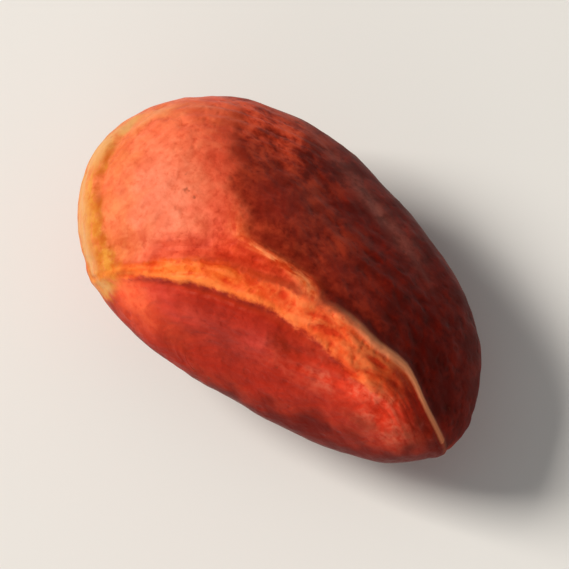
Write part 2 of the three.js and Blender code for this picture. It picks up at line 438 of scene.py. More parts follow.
@dataclass
class KolaNut:
    """The whole nut: an egg with pressed sides, a suture with a raised lip, and a wrinkled skin.

    Sizes are millimetres about the middle of the body and angles are degrees, as in the frame.
    """

    half_sizes: tuple[float, float, float] = (21.5, 13.4, 10.6)
    tip_taper: float = 0.115
    middle_shift: float = 0.98
    tip_shift: float = 0.38
    end_bend: float = 0.36
    edge_sharpness: float = 11.0
    pressed_sides: Sequence[PressedSide] = (
        PressedSide(75, 54, 8.8),
        PressedSide(25, 47, 12.8),
        PressedSide(-71, 22, 10.05),
        PressedSide(-135, 57, 15.4),
        PressedSide(81, -48, 11.4),
        PressedSide(-86, -45, 9.5),
        PressedSide(0, -90, 10.35),
    )

    crest_mean: float = -26.9
    crest_waves: Sequence[tuple[int, float, float]] = ((1, 20.8, 0.6), (2, -3.3, 3.5), (3, -1.4, -1.4))
    crest_bulge: Bell = Bell(36, 15, 3.3)
    lip_width: float = 3.2
    lip_wider: Sequence[Bell] = (Bell(103, 24, 6.4), Bell(50, 32, 14.0))
    lip_height: float = 0.2
    lip_highest: Bell = Bell(85, 50, 0.28)
    lip_edge: float = 0.5
    lip_spread: float = 1.1
    crease_depth: float = 0.06
    crease_extra_depth: float = 0.38
    crease_deepest: Bell = Bell(98, 34)
    crease: Band = Band(-0.25, 0.38)
    ridge: Band = Band(0.0, 0.5)
    ridge_highest: Bell = Bell(45, 45, 0.28)
    trough: Band = Band(1.3, 0.8)
    trough_deepest: Bell = Bell(110, 35, 0.12)
    fold_across: tuple[float, float, float] = (0.736, 0.677, 0.0)
    fold_upward: tuple[float, float, float] = (-0.618, 0.673, 0.407)
    fold_place: float = -3.35
    fold_lean: float = -0.12
    fold_sweep: Edge = Edge(5.4, 0.0, share=5.6)
    fold: Band = Band(0.0, 0.9, share=0.26)
    fold_foot: float = 1.0
    fold_fade: Band = Band(0.0, 7.0)
    fold_start: Edge = Edge(-0.6, 0.6)
    rim_level: float = 3.7
    rim_reach: float = 1.25
    rim_height: float = 0.16
    rim_groove: Band = Band(5.15, 0.5, share=0.12)
    rim_start: Edge = Edge(-9.5, -12.5)
    rim_right: Edge = Edge(5.0, 0.0)
    hollow_depth: float = 0.35
    hollow: Patch = Patch(98, -60, 24)
    wrinkles: Sequence[Wrinkles] = (
        Wrinkles(0.10, 1.7, 2.6, Patch(44, -30, 19)),
        Wrinkles(0.08, 2.9, 1.8, Patch(138, 34, 22)),
        Wrinkles(0.05, 2.3, 3.1, Patch(60, 20, 28)),
        Wrinkles(0.06, 2.6, 2.2, Patch(300, 8, 40)),
    )
    swell_height: float = 0.04
    swells: Sequence[tuple[tuple[float, float, float], float]] = (
        ((0.62, 0.35, 0.21), 0.4),
        ((-0.33, 0.71, 0.48), 2.1),
        ((0.27, -0.52, 0.83), 4.0),
        ((0.95, 0.44, -0.38), 5.3),
    )
    rest_cut: float = 0.25

    bead: Band = Band(0.45, 0.34, share=0.10)
    bead_run: Bell = Bell(100, 34)
    seam: Band = Band(0.2, 0.28, share=0.15)
    seam_run: Bell = Bell(88, 9)
    torn: Threads = Threads(0.055, 0.95, 0.30, 5)
    torn_left: Edge = Edge(-0.2, 0.5)
    torn_right: Edge = Edge(0.4, -0.4)
    fibres: Threads = Threads(0.03, 1.0, 0.26, 7)
    fibres_on_course: float = 0.25
    fibres_on_streaks: float = 0.75
    fine_wrinkles: Sequence[Wrinkles] = (
        Wrinkles(0.07, 0.95, 1.4, Patch(84, -11, 8)),
        Wrinkles(0.035, 1.2, 2.2, Patch(122, 40, 14)),
        Wrinkles(0.05, 1.1, 2.0, Patch(38, -24, 14)),
    )
    grain_height: float = 0.022
    grain_length: float = 1.5
    pit_depth: float = 0.06
    pit_length: float = 2.4
    pit_level: float = 1.3
    hollow_calm: float = 0.5
    dusk_calm: float = 0.2
    waver: float = 0.12
    waver_length: float = 7.0
    strays: Sequence[tuple[float, float, int]] = ((1.0, 4.2, 17), (0.5, 1.7, 19))
    right_edge: Edge = Edge(-0.3, 0.3, 0.05)
    marks: Marks = Marks()
    grid: Grid = Grid()

    def crest_aside(self, along: Array) -> Array:
        """Angle aside of the suture's crest: a mean, a bulge and a short series of waves."""
        waves = (c * np.cos(n * along) + s * np.sin(n * along) for n, c, s in self.crest_waves)
        return np.radians(self.crest_mean + self.crest_bulge(along) + sum(waves))

    def crease_aside(self, along: Array) -> Array:
        """Angle aside of the crease: the crest's, less the lip's width, which takes up the bulge."""
        width = self.lip_width + sum(bell(along) for bell in (*self.lip_wider, self.crest_bulge))
        return self.crest_aside(along) - np.radians(width)

    def body_point(self, direction: Array) -> Array:
        """Smooth body: a tapered, bent ellipsoid, divided by a power sum of the pressed sides.

        Args:
            direction: unit directions from the middle.

        Returns:
            Points in millimetres.
        """
        x, y, z = np.moveaxis(direction, -1, 0)
        length, width, height = self.half_sizes
        girth = 1 - self.tip_taper * x
        bend = self.middle_shift + self.tip_shift * x - self.end_bend * x * x
        point = np.stack([length * x, width * girth * y + bend, height * girth * z], axis=-1)
        crowding = np.ones_like(x)
        for side in self.pressed_sides:
            share = np.maximum(0, point @ side.normal() / side.reach)
            crowding += share**self.edge_sharpness
        return point * crowding[..., None] ** (-1 / self.edge_sharpness)

    def skin(self, along: Array, aside: Array) -> Skin:
        """Smooth body on the skin, and distances to the suture's lines, which stray a little.

        The fold between the cap and the right shoulder runs nearly straight down the back of the
        nut and sweeps right as it meets the suture: its place across is a straight line of the
        height, plus a smooth step.

        Args:
            along: angles, radians.
            aside: angles, radians.

        Returns:
            The places and what is known about each.
        """
        direction = direction_of(along, aside)
        point = self.body_point(direction)
        radius = np.linalg.norm(point, axis=-1)
        waver = self.waver * random_field(point, self.waver_length, seed=13)
        to_crest = (aside - self.crest_aside(along)) * radius + waver
        to_crease = (aside - self.crease_aside(along)) * radius + waver
        up_fold = point @ np.array(self.fold_upward)
        to_fold = point @ np.array(self.fold_across) - self.fold_place
        to_fold = to_fold - self.fold_lean * up_fold - self.fold_sweep(up_fold)
        stray = np.zeros_like(radius)
        for share, length, seed in self.strays:
            stray += share * random_field(point, length, seed)
        right = self.right_edge(to_crest, stray)
        return Skin(along, direction, point, to_crest, to_crease, to_fold, up_fold, stray, right)

    def suture_relief(self, skin: Skin) -> Array:
        """Lip, crease, fine ridge and trough, each a bell of the distance from its line.

        Args:
            skin: places on the skin.

        Returns:
            Heights in millimetres.
        """
        along, to_crest = skin.along, skin.to_crest
        half = (skin.to_crease - to_crest) / 2
        middle = (skin.to_crease + to_crest) / 2
        height = self.lip_height + self.lip_highest(along)
        lip = height * np.exp(-((middle / (self.lip_spread * half + self.lip_edge)) ** 4))
        depth = self.crease_depth + self.crease_extra_depth * self.crease_deepest(along)
        ridge = self.ridge_highest(along) * self.ridge(to_crest)
        trough = self.trough_deepest(along) * self.trough(to_crest)
        return lip - depth * self.crease(skin.to_crease) + ridge - trough

    def end_relief(self, skin: Skin) -> Array:
        """Relief of the broad end: the rounded fold, and the lip's run round the end.

        The fold is a bell of the distance from its line, highest where it meets the suture. The
        lip's run is a level welt, a bell of the fourth power, with a groove above it.

        Args:
            skin: places on the skin.

        Returns:
            Heights in millimetres.
        """
        x, y, z = np.moveaxis(skin.point, -1, 0)
        fade = self.fold_fade(np.maximum(0, skin.up_fold - self.fold_foot))
        fold = self.fold(skin.to_fold) * fade * self.fold_start(skin.to_crest)
        welt = self.rim_height * np.exp(-(((z - self.rim_level) / self.rim_reach) ** 4))
        return fold + self.rim_start(x) * self.rim_right(y) * (welt - self.rim_groove(z))

    def swell_relief(self, skin: Skin) -> Array:
        """Slow unevenness and wrinkles: plane waves, and sines that follow the suture.

        Args:
            skin: places on the skin.

        Returns:
            Heights in millimetres, less the pressed side's hollow.
        """
        swells = sum(np.sin(skin.point @ np.array(wave) + phase) for wave, phase in self.swells)
        wrinkles = sum(wrinkle(skin) for wrinkle in self.wrinkles)
        return self.swell_height * swells + wrinkles - self.hollow_depth * self.hollow(skin.direction)

    def fine_relief(self, skin: Skin, zones: Mapping[Zone, Array]) -> Array:
        """Small relief: the lip's beaded edge and torn fibres, a seam, wrinkles, grain and pits.

        Args:
            skin: places on the skin.
            zones: masks of the skin's zones.

        Returns:
            Heights in millimetres.
        """
        streaks = zones[Zone.STREAKS]
        edges = self.bead(skin.to_crease) * self.bead_run(skin.along)
        edges -= self.seam(skin.to_crest) * self.seam_run(skin.along)
        on_lip = self.torn_left(skin.to_crease) * self.torn_right(skin.to_crest) * zones[Zone.LIP]
        torn = on_lip * self.torn(skin)
        fibres = self.fibres_on_course * zones[Zone.COURSE] + self.fibres_on_streaks * streaks
        fibres = fibres * self.fibres(skin)
        grain = self.grain_height * random_field(skin.point, self.grain_length, seed=3)
        grain = grain * (1 - self.dusk_calm * zones[Zone.DUSK])
        pits = random_field(skin.point, self.pit_length, seed=11)
        pits = self.pit_depth * np.clip(pits - self.pit_level, 0, 1)
        calm = 1 - self.hollow_calm * zones[Zone.HOLLOW] * (1 - streaks)
        wrinkles = sum(wrinkle(skin) for wrinkle in self.fine_wrinkles)
        return edges + torn + calm * (grain + fibres - pits) + wrinkles

    def zones(self, skin: Skin) -> dict[Zone, Array]:
        """Masks of the skin's zones.

        Args:
            skin: places on the skin.

        Returns:
            One mask from 0 to 1 for each zone.
        """
        marks, point, along, to_crest = self.marks, skin.point, skin.along, skin.to_crest
        stray, right = skin.stray, skin.right
        x, y, z = np.moveaxis(point, -1, 0)

        softness = marks.shoulder_softness + marks.shoulder_softens(skin.up_fold)
        place = marks.shoulder_place + marks.shoulder_stray * softness * stray
        shoulder = marks.shoulder((skin.to_fold - place) / softness)
        band = marks.cap_band(to_crest) * marks.cap_band_start(x) * (1 - marks.cap_band_fade(x))
        # Painted shade, darker toward the tip, the right and the bottom.
        deep_shade = marks.deep_shade(point @ np.array(marks.deep_shade_slope), stray)
        deep_shade += sum(spot(point) for spot in marks.deep_shade_spots)
        # Painted sheen on the dark lobe.
        painted_sheen_spots = sum(spot(point) for spot in marks.painted_sheen_spots)

        hollow = marks.hollow(skin.to_crease, stray)
        rose = sum(spot(point) for spot in marks.rose) * (1 + marks.rose_stray * stray)
        streaks = marks.streaks(to_crest) * marks.streaks_run(along)
        under = marks.under(z - marks.under_slope * np.maximum(0, x), stray)

        at_end = marks.end(x) * marks.end_right(y, stray)
        level = z - marks.rim_taper * np.maximum(0, y - marks.rim_taper_from)
        softness = marks.rim_top_softens * np.maximum(0, y - marks.rim_top_softens_from)
        past_top = z + marks.rim_top_stray * stray - marks.rim_top_place
        rim_top = marks.rim_top(past_top / (marks.rim_top_softness + softness))

        degrees = np.degrees(along)
        least = marks.crease_shade_least
        return {
            Zone.CAP: right * (1 - shoulder) * marks.cap_foot(z, stray),
            Zone.CAP_EDGE: np.clip(marks.cap_edge(skin.to_fold, stray) + band, 0, 1),
            Zone.CAP_PALE: marks.cap_pale(point),
            Zone.CAP_RED: marks.cap_red(to_crest) * marks.cap_trough_shade_start(x, stray),
            Zone.FOLD: marks.fold(skin.to_fold) * marks.fold_top(skin.up_fold) * right,
            Zone.DUSK: right * shoulder * marks.dusk_foot(z, stray),
            Zone.DUSK_DEEP: np.clip(deep_shade, 0, 1),
            Zone.FLUSH: marks.flush(point) * marks.flush_start(skin.to_fold),
            Zone.WORN: marks.worn(point),
            Zone.SHADE: marks.shade(to_crest) * marks.shade_run(along) * right,
            Zone.LEFT: 1 - right,
            Zone.HOLLOW: hollow,
            Zone.ROSE: np.clip(rose, 0, 1),
            Zone.FRECKLES: marks.freckles(point),
            Zone.BLUSH: marks.blush(point),
            Zone.STREAKS: np.clip(streaks, 0, 1) * (1 - right),
            Zone.UNDER: under * (1 - marks.under_fade(x, stray)),
            Zone.VIOLET: marks.violet(point) * hollow + np.clip(painted_sheen_spots, 0, 1) * right,
            Zone.RIM: marks.rim_foot(level, stray) * rim_top * at_end,
            Zone.RIM_EDGE: marks.rim_edge(level, stray) * marks.end(x) * marks.rim_highlight_right(y),
            Zone.RIM_GROOVE: marks.rim_groove(z, stray) * at_end * marks.rim_groove_right(y),
            Zone.GILT: marks.gilt(z, stray) * at_end,
            Zone.GOLD: marks.gold(x, stray),
            Zone.BROWN: marks.brown(point),
            Zone.LIP: marks.lip_start(degrees) * marks.lip_end(degrees),
            Zone.BEAD: self.bead_run(along),
            Zone.SEAM: self.seam_run(along),
            Zone.CREASE: least + (1 - least) * self.crease_deepest(along),
            Zone.RIDGE: marks.ridge(along) * (1 - marks.ridge_highlight_fade(degrees)),
            Zone.COURSE: marks.course(np.abs(to_crest - marks.course_middle)),
        }

    def row_aside(self, along: Array) -> Array:
        """Angles aside of the grid's rows: even across the lip, crowding toward it outside.

        Args:
            along: angles of the steps, radians.

        Returns:
            Angles in radians, shaped rows by steps, from the right flank to the left.
        """
        grid = self.grid
        crest = self.crest_aside(along)
        crease = self.crease_aside(along)
        quarter = math.pi / 2
        right = np.linspace(1, 0, grid.rows_right + 1)[:, None] ** grid.crowd_right
        lip = np.linspace(0, 1, grid.rows_lip + 1)[1:, None]
        left = np.linspace(0, 1, grid.rows_left + 1)[1:, None] ** grid.crowd_left
        return np.concatenate(
            [
                crest + (quarter - crest) * right,
                crest + (crease - crest) * lip,
                crease - (quarter + crease) * left,
            ]
        )

    def surface(self) -> tuple[Array, dict[Zone, Array], dict[str, Array]]:
        """Finished skin on the grid: the body plus its relief along the ellipsoid's normal.

        Returns:
            Points in millimetres, the zones' masks, and by name the distances to the crest, the
            crease and the fold, and the small relief.
        """
        grid = self.grid
        along = np.linspace(0, 2 * math.pi, grid.steps, endpoint=False)
        aside = self.row_aside(along)
        along = np.broadcast_to(along, aside.shape).copy()
        along[[0, -1]] = 0.0
        skin = self.skin(along, aside)
        zones = self.zones(skin)
        fine = self.fine_relief(skin, zones)
        relief = self.suture_relief(skin) + self.end_relief(skin) + self.swell_relief(skin) + fine
        outward = skin.direction / np.array(self.half_sizes)
        outward /= np.linalg.norm(outward, axis=-1, keepdims=True)
        point = skin.point + relief[..., None] * outward
        lines = {
            "to_crest": skin.to_crest,
            "to_crease": skin.to_crease,
            "to_fold": skin.to_fold,
            "relief": fine,
        }
        return point, zones, lines

    def faces(self) -> list[list[int]]:
        """Faces of the closed grid: quads between rows, and a fan of triangles at each pole.

        Returns:
            Vertex numbers of each face, turned to face outward. Vertices are the right pole, the
            inner rows in order, and the left pole.
        """
        grid = self.grid
        inner = grid.rows() - 1
        ring = np.arange(grid.steps)
        onward = (ring + 1) % grid.steps
        starts = 1 + grid.steps * np.arange(inner)
        upper = starts[:-1, None]
        lower = starts[1:, None]
        quads = np.stack([upper + ring, lower + ring, lower + onward, upper + onward], axis=-1)
        last = starts[-1]
        left_pole = np.full_like(ring, last + grid.steps)
        right_fan = np.stack([np.zeros_like(ring), starts[0] + ring, starts[0] + onward], axis=-1)
        left_fan = np.stack([left_pole, last + onward, last + ring], axis=-1)
        return [*quads.reshape(-1, 4).tolist(), *right_fan.tolist(), *left_fan.tolist()]

    def place(self, point: Array, box: Sequence[Sequence[float]]) -> Array:
        """Cut the belly level and set the nut inside the box where the frame holds it.

        Args:
            point: the skin's points, millimetres.
            box: lowest and highest corner of the node, metres.

        Returns:
            Points in metres.
        """
        flat = point.reshape(-1, 3)
        rest_level = flat[:, 2].min() + self.rest_cut
        placed = flat.copy()
        placed[:, 2] = np.maximum(flat[:, 2], rest_level) - rest_level
        low, high = np.array(box[0]), np.array(box[1])
        bottom = placed.min(axis=0) * MM
        spread = placed.max(axis=0) * MM - bottom
        fit = np.minimum(1, (high - low) / spread)
        corner = (low + high - spread * fit) / 2
        corner[2] = low[2]
        return (placed * MM - bottom) * fit + corner

    def build(self) -> bpy.types.Object:
        """Make the nut's mesh with its zones and distances as attributes.

        Returns:
            The nut's object, at the origin.
        """
        point, zones, lines = self.surface()
        steps = self.grid.steps
        keep = np.arange(point.shape[0] * steps).reshape(-1, steps)
        keep = np.concatenate([keep[0, :1], keep[1:-1].ravel(), keep[-1, :1]])
        vertices = self.place(point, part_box(NODE))[keep]
        faces = self.faces()

        mesh = bpy.data.meshes.new("kola_nut_skin")
        mesh.from_pydata(vertices.tolist(), [], faces, shade_flat=False)
        mesh.validate()
        for name, values in ({zone.layer(): mask for zone, mask in zones.items()} | lines).items():
            layer = mesh.attributes.new(name, "FLOAT", "POINT")
            layer.data.foreach_set("value", values.ravel()[keep].astype(np.float32))

        nut = bpy.data.objects.new("kola_nut_skin", mesh)
        bpy.context.scene.collection.objects.link(nut)
        LOG.info("nut: %d vertices, %d faces", len(vertices), len(faces))
        return nut


# ---- Shader arithmetic ----


@dataclass(frozen=True)
class Wire:
    """A value socket of a material's graph that takes part in Python arithmetic."""

    graph: Graph
    socket: bpy.types.NodeSocket

    def __add__(self, other: Wire | float) -> Wire:
        """Sum of the two."""
        return self.graph.math("ADD", self, other)

    __radd__ = __add__

    def __sub__(self, other: Wire | float) -> Wire:
        """Difference of the two."""
        return self.graph.math("SUBTRACT", self, other)

    def __rsub__(self, other: float) -> Wire:
        """Difference with the number first."""
        return self.graph.math("SUBTRACT", other, self)

    def __mul__(self, other: Wire | float) -> Wire:
        """Product of the two."""
        return self.graph.math("MULTIPLY", self, other)

    __rmul__ = __mul__

    def __abs__(self) -> Wire:
        """Size of the value without its sign."""
        return self.graph.math("ABSOLUTE", self, 0.0)

    def rise(self, low: float, high: float) -> Wire:
        """Smooth rise.

        Args:
            low: value where it is 0.
            high: value where it is 1.

        Returns:
            The risen value.
        """
        values = {"Value": self, "From Min": low, "From Max": high}
        settings = {"interpolation_type": "SMOOTHSTEP"}
        return self.graph.wire("ShaderNodeMapRange", "Result", settings, values)

    def clamp(self) -> Wire:
        """The value held between 0 and 1."""
        return self.graph.math("MINIMUM", self.graph.math("MAXIMUM", self, 0.0), 1.0)


Source = Wire | float | Sequence[float]
Settings = Mapping[str, object]
Values = Mapping[str | int, Source]


class Graph:
    """Node graph of one material, with one method for nodes and short ones for common nodes."""

    def __init__(self, material: bpy.types.Material) -> None:
        """Start an empty graph on a material.

        Args:
            material: the material to fill.
        """
        material.use_nodes = True
        self.tree = material.node_tree
        self.tree.nodes.clear()

    def node(
        self, kind: str, settings: Settings | None = None, values: Values | None = None
    ) -> bpy.types.Node:
        """Add a node, set it up, then fill or link its sockets.

        Args:
            kind: the node's type.
            settings: the node's own properties, set first.
            values: numbers, colours or wires by socket name or number.

        Returns:
            The node.
        """
        made = self.tree.nodes.new(kind)
        for name, setting in (settings or {}).items():
            setattr(made, name, setting)
        for name, value in (values or {}).items():
            socket = made.inputs[name]
            if isinstance(value, Wire):
                self.tree.links.new(value.socket, socket)
            elif isinstance(value, (int, float)):
                socket.default_value = value
            else:
                size = len(socket.default_value)
                socket.default_value = (*value, 1.0) if len(value) < size else tuple(value)
        return made

    def wire(self, kind: str, output: str | int, *inputs: Settings | Values | None) -> Wire:
        """Add a node from its kind, settings and values, and take one of its outputs."""
        return Wire(self, self.node(kind, *inputs).outputs[output])

    def math(self, operation: str, first: Source, second: Source) -> Wire:
        """Math node on two values."""
        return self.wire("ShaderNodeMath", 0, {"operation": operation}, {0: first, 1: second})

    def mix(self, under: Source, over: Source, factor: Source) -> Wire:
        """Colour that goes from one to another by a factor."""
        values = {"Factor": factor, 6: under, 7: over}
        return self.wire("ShaderNodeMix", 2, {"data_type": "RGBA"}, values)

    def attribute(self, name: str) -> Wire:
        """Value stored on the mesh."""
        return self.wire("ShaderNodeAttribute", "Fac", {"attribute_name": name})

    def place(self) -> Wire:
        """Place on the object, metres."""
        return self.wire("ShaderNodeTexCoord", "Object")

    def join(self, x: Source, y: Source, z: Source) -> Wire:
        """Vector from three values."""
        return self.wire("ShaderNodeCombineXYZ", 0, None, {"X": x, "Y": y, "Z": z})

    def split(self, vector: Wire) -> tuple[Wire, ...]:
        """The three values of a vector."""
        node = self.node("ShaderNodeSeparateXYZ", None, {0: vector})
        return tuple(Wire(self, output) for output in node.outputs)

    def noise(self, vector: Wire, size: float, detail: float, rough: float = 0.55) -> Wire:
        """Noise about 0.5, with features of a size in the vector's unit."""
        values = {"Vector": vector, "Scale": 1 / size, "Detail": detail, "Roughness": rough}
        return self.wire("ShaderNodeTexNoise", "Fac", None, values)

    def cells(self, vector: Wire, size: float) -> Wire:
        """Distance to the nearest of scattered points, with cells of a size."""
        values = {"Vector": vector, "Scale": 1 / size}
        return self.wire("ShaderNodeTexVoronoi", "Distance", {"feature": "SMOOTH_F1"}, values)

    def bump(self, height: Wire, distance: float, strength: float) -> Wire:
        """Normal bent by a height in units of a distance in metres."""
        values = {"Height": height, "Distance": distance, "Strength": strength}
        return self.wire("ShaderNodeBump", "Normal", None, values)

    def surface(self, values: Values) -> None:
        """Principled surface, sent to the material's output.

        Args:
            values: numbers, colours or wires by socket name.
        """
        shader = self.node("ShaderNodeBsdfPrincipled", None, values)
        output = self.node("ShaderNodeOutputMaterial")
        self.tree.links.new(shader.outputs[0], output.inputs["Surface"])


# ---- Finishes ----


@dataclass(frozen=True)
class Tones:
    """Three linear colours of one zone: its body, its raised parts and its hollows, the last two
    partly painted highlight and painted shade.
    """

    body: Colour
    raised: Colour
    sunk: Colour


@dataclass(frozen=True)
class Line:
    """A painted line: its middle, solid half and whole half in mm, and how ragged it is."""

    middle: float
    solid: float
    whole: float
    ragged: float = 0.3

    def on(self, distance: Wire, ragged: Wire) -> Wire:
        """Strength of the line: 1 less a rise of the size of the distance from its middle."""
        away = abs(distance - self.middle + ragged * self.ragged)
        return 1 - away.rise(self.solid, self.whole)


@dataclass(frozen=True)
class NutSkinFinish:
    """Satin seed skin: mottled by zone, veined along the suture, wrinkled and finely pitted, with
    painted shade and painted highlights.

    Tones are linear colours, lines are millimetres and the sizes of the mottling are metres.
    """

    cap: Tones = Tones((0.74, 0.115, 0.042), (0.84, 0.180, 0.075), (0.56, 0.066, 0.022))
    # Pinkish tones of the painted highlight on the cap.
    cap_pale: Tones = Tones((0.72, 0.165, 0.084), (0.82, 0.230, 0.130), (0.60, 0.105, 0.046))
    cap_edge: Tones = Tones((0.60, 0.056, 0.024), (0.72, 0.095, 0.042), (0.44, 0.030, 0.012))
    # Darker red tones of the painted shade in the trough above the lip.
    cap_red: Tones = Tones((0.66, 0.042, 0.011), (0.80, 0.080, 0.024), (0.44, 0.020, 0.004))
    fold: Tones = Tones((0.92, 0.145, 0.030), (1.00, 0.270, 0.090), (0.56, 0.042, 0.006))
    brick: Tones = Tones((0.38, 0.030, 0.011), (0.47, 0.048, 0.019), (0.26, 0.017, 0.007))
    # Dark maroon tones of the lobe, partly painted shade; also used for random blotches.
    dusk: Tones = Tones((0.28, 0.019, 0.006), (0.48, 0.050, 0.016), (0.15, 0.007, 0.002))
    # Near-black tones of the painted shade on the dark lobe and low on the nut.
    dusk_deep: Tones = Tones((0.13, 0.002, 0.000), (0.24, 0.008, 0.001), (0.06, 0.001, 0.000))
    flush: Tones = Tones((0.78, 0.062, 0.022), (0.90, 0.125, 0.050), (0.40, 0.024, 0.009))
    hollow: Tones = Tones((0.37, 0.015, 0.005), (0.46, 0.024, 0.009), (0.27, 0.010, 0.003))
    blush: Tones = Tones((0.82, 0.098, 0.034), (0.90, 0.148, 0.052), (0.62, 0.046, 0.014))
    rose: Tones = Tones((0.60, 0.050, 0.035), (0.70, 0.075, 0.052), (0.44, 0.026, 0.015))
    # Violet tones of the painted sheen.
    violet: Tones = Tones((0.31, 0.021, 0.012), (0.40, 0.033, 0.020), (0.24, 0.013, 0.007))
    streaks: Tones = Tones((1.00, 0.075, 0.030), (1.00, 0.240, 0.130), (0.66, 0.026, 0.006))
    brown: Tones = Tones((0.98, 0.094, 0.014), (1.00, 0.150, 0.030), (0.72, 0.044, 0.006))
    gilt: Tones = Tones((0.62, 0.156, 0.034), (0.70, 0.225, 0.062), (0.52, 0.078, 0.015))
    rim: Tones = Tones((0.54, 0.178, 0.014), (0.63, 0.256, 0.036), (0.50, 0.098, 0.005))
    # Pale tone of the painted highlight at the broad end's left.
    rim_highlight: Colour = (0.62, 0.315, 0.115)
    rim_amber: Colour = (0.41, 0.070, 0.002)
    lip: Tones = Tones((0.95, 0.118, 0.025), (1.00, 0.215, 0.062), (0.70, 0.044, 0.010))
    gold: Tones = Tones((0.76, 0.104, 0.010), (0.92, 0.200, 0.036), (0.56, 0.040, 0.002))
    # Tone of the painted highlight along the crest.
    ridge_pale: Colour = (1.0, 0.35, 0.15)
    # Tone of the painted highlight on the lip's raised lower edge.
    bead_pale: Colour = (0.94, 0.22, 0.045)
    # Tone of the painted highlight along the right shoulder's edge.
    edge_highlight_tone: Colour = (0.36, 0.12, 0.09)
    # Tone of the painted shade in the crease.
    crease_dark: Colour = (0.44, 0.036, 0.006)
    seam_dark: Colour = (0.50, 0.034, 0.003)
    freckle_brown: Colour = (0.22, 0.010, 0.001)
    scuff_brown: Colour = (0.14, 0.030, 0.011)
    crease_shade_line: Line = Line(-0.25, 0.0, 0.55)
    ridge_highlight_line: Line = Line(0.05, 0.16, 0.72, 0.2)
    bead_highlight_line: Line = Line(0.45, 0.0, 0.45)
    seam_line: Line = Line(0.2, 0.0, 0.40)
    blotch_size: float = 0.0060
    mottle_size: float = 0.0024
    grain_size: float = 0.00060
    vein_size: float = 0.0010
    fibre_size: float = 0.0015
    network_size: float = 0.0021
    pore_size: float = 0.0015
    scuff_size: float = 0.00085
    strand_size: float = 0.0007
    course_squeeze: float = 0.28
    strand_squeeze: float = 0.3
    roughness: float = 0.46
    bump_depth: float = 0.00020
    bump_strength: float = 0.8
    shine: float = 0.17
    shine_tint: Colour = (1.0, 0.50, 0.36)
    sheen: float = 0.05
    sheen_roughness: float = 0.18
    sheen_tint: Colour = (1.0, 0.6, 0.4)

    def dress(self, nut: bpy.types.Object) -> None:
        """Make the material and give it to the nut.

        Args:
            nut: the nut's object, with the zones as attributes.
        """
        material = bpy.data.materials.new("nut_skin_satin")
        graph = Graph(material)
        place = graph.place()
        x, y, z = graph.split(place)
        to_crest = graph.attribute("to_crest")
        to_crease = graph.attribute("to_crease")
        relief = graph.attribute("relief")
        squeeze = self.course_squeeze
        course = graph.join(to_crest * MM, x * squeeze, z * squeeze)
        zone = {name: graph.attribute(name.layer()) for name in Zone}
        cap, streaks = zone[Zone.CAP], zone[Zone.STREAKS]

        blotch = graph.noise(place, self.blotch_size, 2.0)
        mottle = graph.noise(place, self.mottle_size, 4.0, 0.58)
        grain = graph.noise(place, self.grain_size, 3.0, 0.6)
        vein = graph.noise(course, self.vein_size, 3.0, 0.55)
        fibre = 1 - abs(graph.noise(course, self.fibre_size, 2.0, 0.5) * 2 - 1).rise(0.0, 0.34)
        network = graph.noise(place, self.network_size, 2.0, 0.45)
        network = 1 - abs(network * 2 - 1).rise(0.0, 0.36)
        pores = 1 - graph.cells(place, self.pore_size).rise(0.08, 0.24)
        scuff = blotch * 0.5 + graph.noise(place, self.scuff_size, 2.0, 0.5)

        smooth = (1 - zone[Zone.DUSK] * 0.8) * zone[Zone.COURSE]
        # Lighter where the mottling, grain and veins rise, which also raise the bump, and on the
        # relief's raised parts: partly random tone, partly painted highlight.
        raised = (mottle - 0.5) * 0.5 + (grain - 0.5) * 0.25 + (vein - 0.5) * smooth * 0.3
        raised = raised.rise(-0.08, 0.14) * 0.85
        raised = graph.math("MAXIMUM", raised, (relief - 0.01).rise(0.0, 0.12))
        # Darker in the network, fibres and pores, which also sink the bump, and in the relief's
        # hollows: partly random tone, partly painted shade.
        sunk = (network + fibre * smooth) * mottle.rise(0.66, 0.36) * 0.42 + pores * 0.35
        sunk = sunk + (-0.01 - relief).rise(0.0, 0.14) * 0.9 + grain.rise(0.44, 0.30) * 0.35
        sunk = (sunk * (1 - zone[Zone.HOLLOW] * (1 - streaks) * 0.45)).clamp()

        def paint(tones: Tones | Source) -> Source:
            """Colour of one zone.

            Args:
                tones: the zone's three tones, or a colour that is taken as it is.

            Returns:
                The colour.
            """
            if not isinstance(tones, Tones):
                return tones
            return graph.mix(graph.mix(tones.body, tones.raised, raised), tones.sunk, sunk)

        def lay(under: Tones, *coats: tuple[Tones | Source, Source]) -> Wire:
            """Colour under coats of colour.

            Args:
                under: the ground.
                coats: colours, each with the share by which it is laid over the last.

            Returns:
                The finished colour.
            """
            colour = paint(under)
            for coat, share in coats:
                colour = graph.mix(colour, paint(coat), share)
            return colour

        ragged = (mottle - 0.5) * 0.9 + (grain - 0.5) * 0.7
        on_lip = (to_crease + ragged).rise(-0.1, 0.5) * (1 - (to_crest + ragged).rise(-0.3, 0.3))
        # Painted shade: a ragged dark line in the crease below the lip.
        groove = self.crease_shade_line.on(to_crease, ragged)
        # Painted highlight: a ragged pale line along the crest.
        ridge = self.ridge_highlight_line.on(to_crest, ragged)
        # Painted highlight: a ragged line on the lip's raised lower edge.
        bead = self.bead_highlight_line.on(to_crease, ragged)
        seam = self.seam_line.on(to_crest, ragged)

        # Painted shade: the deep shade on the lobe and the dark line beside the crest.
        deep_shade = graph.math("MAXIMUM", zone[Zone.DUSK_DEEP], zone[Zone.SHADE] * 0.9)
